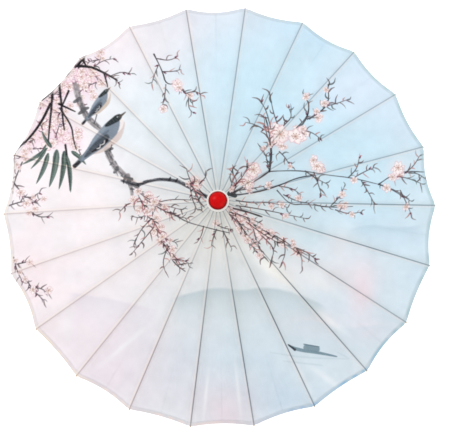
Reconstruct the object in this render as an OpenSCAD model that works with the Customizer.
// Folding umbrella with a painted canopy on split bamboo ribs, shown open and upright.
// Z runs up the shaft. The origin is on the shaft's axis at the handle's lower end.
// A rib, its stretcher and the two hub pivots make a triangle with two equal sides,
// so the runner moves straight down the shaft as the ribs fold.

/* [Canopy frame] */
// Number of ribs, and of stretchers
rib_count = 22; // [18:1:22]
// Distance from the axis to the tip of an open rib
rim_r = 420; // [390:1:440]
// Slope of an open rib below level, in degrees
open_slope = 10; // [9:0.5:14]
// Slope of a folded rib, in degrees
closed_slope = 85; // [80:0.5:85]
// Length from a rib's hub pivot to its middle joint, and of a stretcher between its pivots
link_len = 195; // [180:1:205]
// Distance from the axis to the pivots in both hubs
pivot_r = 16.5; // [16.5:0.1:17]
// Height of the rib pivots over the handle's lower end
top_pivot_z = 536; // [530:1:560]

/* [Ribs and stretchers] */
// Width of a rib at its middle
rib_w = 3.6; // [3.4:0.1:4]
// Width of a rib and of a stretcher where they sit in a hub
root_w = 2.0; // [1.8:0.1:2.1]
// Width of a rib at its tip
tip_w = 2.8; // [2.4:0.1:3.4]
// Depth of a rib from the hub to beyond its middle
rib_d = 5.6; // [5:0.1:5.8]
// Depth of a rib at its tip
tip_d = 3.0; // [2.6:0.1:3.6]
// Width of a stretcher
stretcher_w = 3.0; // [2.6:0.1:3.2]
// Depth of a stretcher
stretcher_d = 5.0; // [4.4:0.1:5.2]
// Width of the tongue at a stretcher's upper end
tongue_w = 1.4; // [1.2:0.1:1.5]
// Width of the slot in a rib that takes the tongue
tongue_slot_w = 1.8; // [1.7:0.1:2]
// Radius of the pin through a rib's middle joint
pin_r = 0.5; // [0.4:0.05:0.6]
// Radius of the tie wire in each hub
wire_r = 0.6; // [0.5:0.05:0.65]

/* [Hubs and runner] */
// Radius of both hubs
hub_r = 21; // [20.5:0.5:22]
// Width of the slots in both hubs
hub_slot_w = 2.4; // [2.3:0.1:2.6]
// Height of the top hub's slotted head over the pivots
hub_top = 6.5; // [6:0.5:8]
// Length of the runner's sleeve below its slotted head
sleeve_len = 30; // [26:1:34]
// Radius of the runner's sleeve
sleeve_r = 12.5; // [11.5:0.5:13]

/* [Shaft and handle] */
// Radius of the shaft
shaft_r = 6.5; // [6.3:0.1:6.6]
// Radius of the handle's straight grip
grip_r = 12.5; // [11:0.5:14]
// Length of the handle
handle_len = 100; // [90:1:105]
// Height of the top of the grip's straight part
grip_top = 84; // [76:1:86]

/* [Canopy and crown] */
// Thickness of the canopy as one solid
canopy_t = 0.6; // [0.4:0.1:0.8]
// How far the canopy hangs below the ribs, half way between two of them at the rim
valley_sag = 4; // [2:0.5:6]
// How far the rim curves in between two ribs
scallop = 3.5; // [2:0.5:6]
// Width of the hem around the rim
hem_w = 6; // [4:0.5:8]
// Radius of the domed cap
cap_r = 17.7; // [16:0.1:18.5]
// Height of the domed cap
cap_h = 10; // [8:0.5:13]
// Radius of the collar under the cap
collar_r = 21.5; // [20:0.1:22.5]

/* [Hidden] */
$fn = 96;
pitch = 360 / rib_count;
half_pitch = pitch / 2;

// clearances
pivot_gap = 0.12;
joint_gap = 0.05;
fixed_gap = 0.02;
bore_gap = 0.3;
cloth_gap = 0.5;
layer_gap = 0.4;

// the folding triangle
rib_len = (rim_r - pivot_r) / cos(open_slope);
runner_drop = 2 * link_len * sin(open_slope);
runner_pivot_z = top_pivot_z - runner_drop;

// rib and stretcher stations, measured from their pivots
root_len = 24;
full_w_at = 60;
taper_from = 240;
slot_inner = 18;
slot_outer = 33;
tongue_len = 36;
tongue_blend = 2;
stretcher_taper_from = 150;
tip_chamfer = 0.8;

// hubs, measured from their pivots
slot_bottom_r = pivot_r - rib_d / 2 - layer_gap;
slot_head = rib_d / 2 + 0.8;
head_below = 9;
tail_len = 11;
tail_r = 11.5;
neck_r = 14.8;
neck_top = 10.4;
groove_h = 1.8;
edge = 0.8;
runner_head_above = 7;
runner_head_below = 6.5;
runner_bottom_z = runner_pivot_z - runner_head_below - sleeve_len;

// pegs
peg_r = 1.2;
hub_peg_z = top_pivot_z - head_below - tail_len / 2;
stop_peg_z = runner_pivot_z + runner_head_above + peg_r + 0.2;
stop_peg_len = 2 * 9.5;

// catch spring: an arm on a cross pin, with a top face that is an arc about the pin
catch_pin_r = 0.8;
catch_pin_x = 1.5;
catch_len = 34;
catch_w = 1.8;
catch_slot_w = 2.2;
catch_eye_r = 1.9;
catch_out = 3.5;
catch_inner_x = shaft_r + 0.5;
catch_outer_x = shaft_r + catch_out;
catch_top_z = runner_bottom_z - 0.15;
catch_pin_z = catch_top_z - catch_len;
catch_reach = norm([catch_inner_x - catch_pin_x, catch_len]);
catch_corner_z = catch_pin_z + sqrt(pow(catch_reach, 2) - pow(catch_outer_x - catch_pin_x, 2));
catch_slot_x = -2.5;

// handle and shaft
socket_z = 18;
shaft_top_z = top_pivot_z + 14;
handle_edge_r = 4;
handle_neck_r = 8.8;

// crown: the canopy's middle lies on the hub, then the collar, then the cap
canopy_hole_r = 17.6;
shoulder_r = hub_r + 0.6;
shoulder_z = top_pivot_z + hub_top + layer_gap;
draped_r = 31;
collar_z = shoulder_z + canopy_t + layer_gap;
collar_top_z = top_pivot_z + neck_top;
cap_z = collar_top_z + 0.05;
cap_rim_h = 1.6;
cap_socket_r = shaft_r + 0.2;
dome_h = cap_h - cap_rim_h;
dome_r = cap_r - 0.5;
dome_sphere_r = (pow(dome_r, 2) + pow(dome_h, 2)) / (2 * dome_h);

// rim
hem_r = rim_r - 1.4;
canopy_edge_r = hem_r - hem_w - 0.3;
hem_t = 1.0;

function two_digits(i) = i < 10 ? str("0", i) : str(i);
function rib_name(i) = str("rib_", two_digits(i));
function stretcher_name(i) = str("stretcher_", two_digits(i));
function rib_angle(i) = (i - 1) * pitch;

// height of the canopy's underside over a rib, at a distance from the axis
function over_rib(r) =
    top_pivot_z + rib_d / 2 / cos(open_slope) + cloth_gap - (r - pivot_r) * tan(open_slope);

// a prism with a side outline in X and Z, as wide as w and centred on Y = 0
module side_on(w) {
    rotate([90, 0, 0])
        linear_extrude(height = w, center = true)
            children();
}

// a prism from an outline in X and Y, long enough to cover any part's depth
module plan_on() {
    linear_extrude(height = 20, center = true)
        children();
}

// an outline in X and Y from points of half widths, the same on both sides of the X axis
module mirrored_outline(points) {
    back = [for (k = [len(points) - 1:-1:0]) [points[k][0], -points[k][1]]];
    polygon(concat(points, back));
}

module cross_pin(r, w) {
    rotate([90, 0, 0])
        cylinder(r = r, h = w, center = true);
}

// split bamboo rib with its tongue slot, its two holes and the pin of its middle joint
module rib(i) {
    half = rib_d / 2;
    color("burlywood")
    rotate([0, 0, rib_angle(i)])
    translate([pivot_r, 0, top_pivot_z])
    rotate([0, open_slope, 0]) {
        difference() {
            intersection() {
                side_on(2 * rib_w) {
                    circle(r = half);
                    polygon([
                        [0, -half],
                        [taper_from, -half],
                        [rib_len - tip_chamfer, half - tip_d],
                        [rib_len, half - tip_d + tip_chamfer],
                        [rib_len, half - tip_chamfer],
                        [rib_len - tip_chamfer, half],
                        [0, half]
                    ]);
                }
                plan_on()
                    mirrored_outline([
                        [-rib_d, root_w / 2],
                        [root_len, root_w / 2],
                        [full_w_at, rib_w / 2],
                        [taper_from, rib_w / 2],
                        [rib_len + 1, tip_w / 2]
                    ]);
            }
            translate([link_len - slot_inner, -tongue_slot_w / 2, -rib_d])
                cube([slot_inner + slot_outer, tongue_slot_w, 2 * rib_d]);
            cross_pin(wire_r + pivot_gap, 2 * rib_w);
            translate([link_len, 0, 0])
                cross_pin(pin_r + fixed_gap, 2 * rib_w);
        }
        translate([link_len, 0, 0])
            cross_pin(pin_r, rib_w);
    }
}

// bamboo stretcher: a thin tongue at the rib's joint, and a narrow end in the runner
module stretcher(i) {
    half = stretcher_d / 2;
    color("tan")
    rotate([0, 0, rib_angle(i)])
    translate([pivot_r + link_len * cos(open_slope), 0, top_pivot_z - link_len * sin(open_slope)])
    rotate([0, 180 - open_slope, 0])
    difference() {
        intersection() {
            side_on(2 * stretcher_w) {
                circle(r = half);
                translate([0, -half])
                    square([link_len, stretcher_d]);
                translate([link_len, 0])
                    circle(r = half);
            }
            plan_on()
                mirrored_outline([
                    [-stretcher_d, tongue_w / 2],
                    [tongue_len, tongue_w / 2],
                    [tongue_len + tongue_blend, stretcher_w / 2],
                    [stretcher_taper_from, stretcher_w / 2],
                    [link_len - root_len, root_w / 2],
                    [link_len + stretcher_d, root_w / 2]
                ]);
        }
        cross_pin(pin_r + joint_gap, 2 * stretcher_w);
        translate([link_len, 0, 0])
            cross_pin(wire_r + pivot_gap, 2 * stretcher_w);
    }
}

// one slot for each rib, from a low to a high level
module hub_slots(low, high) {
    for (i = [1:rib_count])
        rotate([0, 0, rib_angle(i)])
            translate([slot_bottom_r, -hub_slot_w / 2, low])
                cube([hub_r, hub_slot_w, high - low]);
}

// the groove that holds a hub's tie wire
module wire_groove(z) {
    translate([0, 0, z - groove_h / 2])
        difference() {
            cylinder(r = hub_r + 1, h = groove_h);
            translate([0, 0, -1])
                cylinder(r = pivot_r - wire_r - fixed_gap, h = groove_h + 2);
        }
}

module tie_wire(z) {
    translate([0, 0, z])
        rotate_extrude()
            translate([pivot_r, 0])
                circle(r = wire_r, $fn = 24);
}

// turned wooden hub fixed on the shaft, with a neck above and a tail below its slotted head
module top_hub() {
    head_bottom = top_pivot_z - head_below;
    head_top = top_pivot_z + hub_top;
    color("peru")
    difference() {
        rotate_extrude()
            polygon([
                [shaft_r + fixed_gap, head_bottom - tail_len],
                [tail_r - edge, head_bottom - tail_len],
                [tail_r, head_bottom - tail_len + edge],
                [tail_r, head_bottom],
                [hub_r - edge, head_bottom],
                [hub_r, head_bottom + edge],
                [hub_r, head_top - edge],
                [hub_r - edge, head_top],
                [neck_r, head_top],
                [neck_r, collar_top_z],
                [shaft_r + fixed_gap, collar_top_z]
            ]);
        hub_slots(head_bottom - 1, top_pivot_z + slot_head);
        wire_groove(top_pivot_z);
        translate([0, 0, hub_peg_z])
            cross_pin(peg_r + fixed_gap, 4 * hub_r);
    }
}

module top_hub_wire() {
    color("silver")
        tie_wire(top_pivot_z);
}

// turned wooden runner that slides on the shaft, with the stretchers in its slotted head
module runner() {
    head_top = runner_pivot_z + runner_head_above;
    head_bottom = runner_pivot_z - runner_head_below;
    color("peru")
    difference() {
        rotate_extrude()
            polygon([
                [shaft_r + bore_gap, runner_bottom_z],
                [sleeve_r - edge, runner_bottom_z],
                [sleeve_r, runner_bottom_z + edge],
                [sleeve_r, head_bottom - 3 * edge],
                [hub_r - edge, head_bottom],
                [hub_r, head_bottom + edge],
                [hub_r, head_top - edge],
                [hub_r - edge, head_top],
                [shaft_r + bore_gap, head_top]
            ]);
        hub_slots(runner_pivot_z - slot_head, head_top + 1);
        wire_groove(runner_pivot_z);
    }
}

module runner_wire() {
    color("silver")
        tie_wire(runner_pivot_z);
}

// round wooden shaft with a slot for the catch spring and holes for the pegs and its pin
module shaft() {
    color("wheat")
    difference() {
        translate([0, 0, socket_z + 0.3])
            cylinder(r = shaft_r, h = shaft_top_z - socket_z - 0.3);
        translate([catch_slot_x, -catch_slot_w / 2, catch_pin_z - 3])
            cube([2 * shaft_r, catch_slot_w, catch_len + 4.5]);
        translate([catch_pin_x, 0, catch_pin_z])
            cross_pin(catch_pin_r + fixed_gap, 4 * shaft_r);
        translate([0, 0, stop_peg_z])
            cross_pin(peg_r + fixed_gap, 4 * shaft_r);
        translate([0, 0, hub_peg_z])
            cross_pin(peg_r + fixed_gap, 4 * shaft_r);
    }
}

// peg that fixes the top hub on the shaft, flush with the hub's tail
module hub_peg() {
    color("burlywood")
        translate([0, 0, hub_peg_z])
            cross_pin(peg_r, 2 * tail_r - 1);
}

// peg that stops the runner at the top of its travel
module stop_peg() {
    color("burlywood")
        translate([0, 0, stop_peg_z])
            cross_pin(peg_r, stop_peg_len);
}

// steel arm that springs out under the open runner
module catch_spring() {
    color("lightsteelblue")
    difference() {
        side_on(catch_w) {
            translate([catch_pin_x, catch_pin_z])
                circle(r = catch_eye_r, $fn = 48);
            polygon([
                [catch_pin_x - 1, catch_pin_z],
                [catch_pin_x + catch_eye_r, catch_pin_z],
                [catch_outer_x, catch_corner_z - 5],
                [catch_outer_x, catch_corner_z],
                [catch_inner_x, catch_top_z],
                [catch_inner_x, catch_top_z - 5]
            ]);
        }
        translate([catch_pin_x, 0, catch_pin_z])
            cross_pin(catch_pin_r + joint_gap, 4 * catch_w);
    }
}

module catch_pin() {
    color("silver")
        translate([catch_pin_x, 0, catch_pin_z])
            cross_pin(catch_pin_r, 2 * shaft_r - 1);
}

// turned wooden grip, bored from above for the shaft
module handle() {
    color("saddlebrown")
    difference() {
        rotate_extrude() {
            translate([grip_r - handle_edge_r, handle_edge_r])
                circle(r = handle_edge_r);
            polygon([
                [0, 0],
                [grip_r - handle_edge_r, 0],
                [grip_r - handle_edge_r, handle_edge_r],
                [grip_r, handle_edge_r],
                [grip_r, grip_top],
                [grip_r - 1.4, grip_top + 5],
                [handle_neck_r + 0.6, handle_len - 4],
                [handle_neck_r, handle_len],
                [0, handle_len]
            ]);
        }
        translate([0, 0, socket_z])
            cylinder(r = shaft_r + fixed_gap, h = handle_len);
    }
}

// A closed sheet that hangs from the ribs, with a corner on every rib and in every valley.
// Each station is [distance from the axis over a rib, height of the underside over a rib,
// thickness, how far the valley hangs, how far the valley curves in].
module hung_sheet(stations) {
    around = 2 * rib_count;
    count = len(stations);
    points = [
        for (upper = [0, 1], s = stations, m = [0:around - 1])
            let (
                valley = m % 2,
                r = valley == 1 ? s[0] * cos(half_pitch) - s[4] : s[0],
                z = s[1] + upper * s[2] - valley * s[3]
            )
            [r * cos(m * half_pitch), r * sin(m * half_pitch), z]
    ];
    function at(upper, k, m) = (upper * count + k) * around + m % around;
    under = [
        for (k = [0:count - 2], m = [0:around - 1], part = [0, 1])
            part == 0
                ? [at(0, k, m), at(0, k + 1, m), at(0, k + 1, m + 1)]
                : [at(0, k, m), at(0, k + 1, m + 1), at(0, k, m + 1)]
    ];
    over = [
        for (k = [0:count - 2], m = [0:around - 1], part = [0, 1])
            part == 0
                ? [at(1, k, m), at(1, k + 1, m + 1), at(1, k + 1, m)]
                : [at(1, k, m), at(1, k, m + 1), at(1, k + 1, m + 1)]
    ];
    inner = [
        for (m = [0:around - 1], part = [0, 1])
            part == 0
                ? [at(0, 0, m), at(0, 0, m + 1), at(1, 0, m + 1)]
                : [at(0, 0, m), at(1, 0, m + 1), at(1, 0, m)]
    ];
    outer = [
        for (m = [0:around - 1], part = [0, 1])
            part == 0
                ? [at(0, count - 1, m), at(1, count - 1, m + 1), at(0, count - 1, m + 1)]
                : [at(0, count - 1, m), at(1, count - 1, m), at(1, count - 1, m + 1)]
    ];
    polyhedron(points = points, faces = concat(under, over, inner, outer));
}

function station(r, t = canopy_t) =
    [r, over_rib(r), t, valley_sag * r / rim_r, scallop * pow(r / rim_r, 6)];

// painted cloth over the ribs, with its middle lying on the hub's shoulder
module canopy() {
    color("aliceblue")
        hung_sheet(concat(
            [
                [canopy_hole_r, shoulder_z, canopy_t, 0, 0],
                [shoulder_r, shoulder_z, canopy_t, 0, 0]
            ],
            [for (r = [draped_r, 70, 140, 230, 320, canopy_edge_r]) station(r)]
        ));
}

// folded and stitched edge of the cloth
module rim_hem() {
    color("mistyrose")
        hung_sheet([for (r = [hem_r - hem_w, hem_r]) station(r, hem_t)]);
}

// pale ring that clamps the canopy on the hub
module collar() {
    color("whitesmoke")
        rotate_extrude()
            polygon([
                [neck_r + 0.2, collar_z],
                [collar_r, collar_z],
                [collar_r, collar_z + 0.9],
                [collar_r - 1.6, collar_top_z],
                [neck_r + 0.2, collar_top_z]
            ]);
}

// lacquered domed cap, recessed for the shaft's end
module cap() {
    color("red")
    translate([0, 0, cap_z])
    rotate_extrude()
        difference() {
            union() {
                square([cap_r, cap_rim_h]);
                intersection() {
                    translate([0, cap_h - dome_sphere_r])
                        circle(r = dome_sphere_r, $fn = 180);
                    square([dome_r, cap_h]);
                }
            }
            translate([-1, -1])
                square([1 + cap_socket_r, 1 + shaft_top_z - cap_z + 0.3]);
        }
}

for (i = [1:rib_count]) {
    rib(i);
    stretcher(i);
}
shaft();
handle();
top_hub();
top_hub_wire();
hub_peg();
stop_peg();
catch_spring();
catch_pin();
runner();
runner_wire();
canopy();
rim_hem();
collar();
cap();
